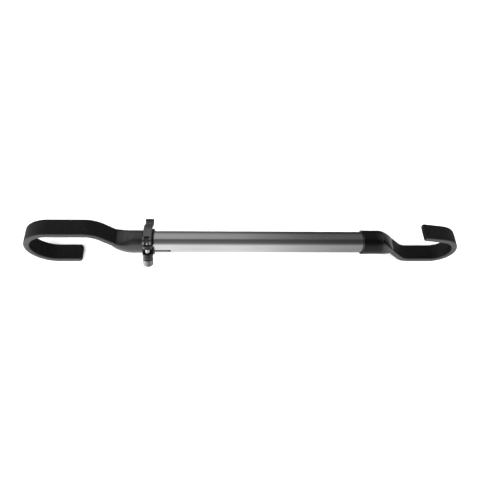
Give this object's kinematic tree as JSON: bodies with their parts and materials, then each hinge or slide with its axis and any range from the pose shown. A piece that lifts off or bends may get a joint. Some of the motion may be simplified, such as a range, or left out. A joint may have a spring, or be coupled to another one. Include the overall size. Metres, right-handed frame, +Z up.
{
  "type": "telescoping hook bar",
  "caption": "Telescoping tube bar with a rubber-covered S-shaped strap hook at each end and a quick-release collar that locks its length.",
  "frame": {"origin": "on the bar's axis at the middle of the bare outer tube", "axes": "+X along the bar toward the fixed hook, +Z up, -Y toward the collar's ears; both hooks lie in the XZ plane"},
  "size_m": [0.5219, 0.0587, 0.0654],
  "materials": {
    "tube_metal": "satin plated",
    "inner_metal": "satin black paint",
    "plug_plastic": "moulded",
    "fastener_metal": "zinc plated",
    "strap_steel": "rolled",
    "cover_rubber": "textured matte",
    "boot_satin": "smooth satin vinyl",
    "boot_gloss": "glossy vinyl",
    "collar_black": "black anodised",
    "bolt_metal": "zinc plated",
    "washer_metal": "black oxide",
    "nut_metal": "satin",
    "lever_grey": "dark grey satin"
  },
  "bodies": {
    "outer_assembly": {"outer_tube": "tube_metal", "right_tang_plug": "plug_plastic", "right_cross_rivet": "fastener_metal", "right_hook_strap": "strap_steel", "right_hook_cover": "cover_rubber", "right_end_boot": "boot_gloss", "clamp_ring": "collar_black", "clamp_bolt": "bolt_metal", "cam_pin": "washer_metal", "cam_washer": "washer_metal"},
    "lever": {"qr_lever": "lever_grey"},
    "washer": {"nut_washer": "washer_metal"},
    "nut": {"adjusting_nut": "nut_metal"},
    "guide": {"guide_bush": "plug_plastic"},
    "inner_assembly": {"inner_tube": "inner_metal", "inner_end_plug": "plug_plastic", "left_tang_plug": "plug_plastic", "left_cross_rivet": "fastener_metal", "left_hook_strap": "strap_steel", "left_hook_cover": "cover_rubber", "left_end_boot": "boot_satin"}
  },
  "joints": [
    {"name": "lever_turn", "type": "hinge", "parent": "outer_assembly", "child": "lever", "pos_m": [-0.13205, -0.01103, 0.0219], "axis": [1, 0, 0], "range_deg": [0, 160]},
    {"name": "nut_travel", "type": "slide", "parent": "outer_assembly", "child": "washer", "axis": [0, -0.5, -0.866], "range_m": [0, 0.004]},
    {"name": "nut_turn", "type": "hinge", "parent": "washer", "child": "nut", "pos_m": [-0.13205, -0.02375, -0.00014], "axis": [0, -0.5, -0.866], "range_deg": [0, 1800]},
    {"name": "extension_slide", "type": "slide", "parent": "outer_assembly", "child": "guide", "axis": [-1, 0, 0], "range_m": [0, 0.19]},
    {"name": "hook_swivel", "type": "hinge", "parent": "guide", "child": "inner_assembly", "pos_m": [-0.141, 0, 0], "axis": [1, 0, 0], "continuous": true}
  ],
  "couplings": [
    {"joint": "nut_travel", "follows": "nut_turn", "m_per_rad": 0.00012732}
  ]
}
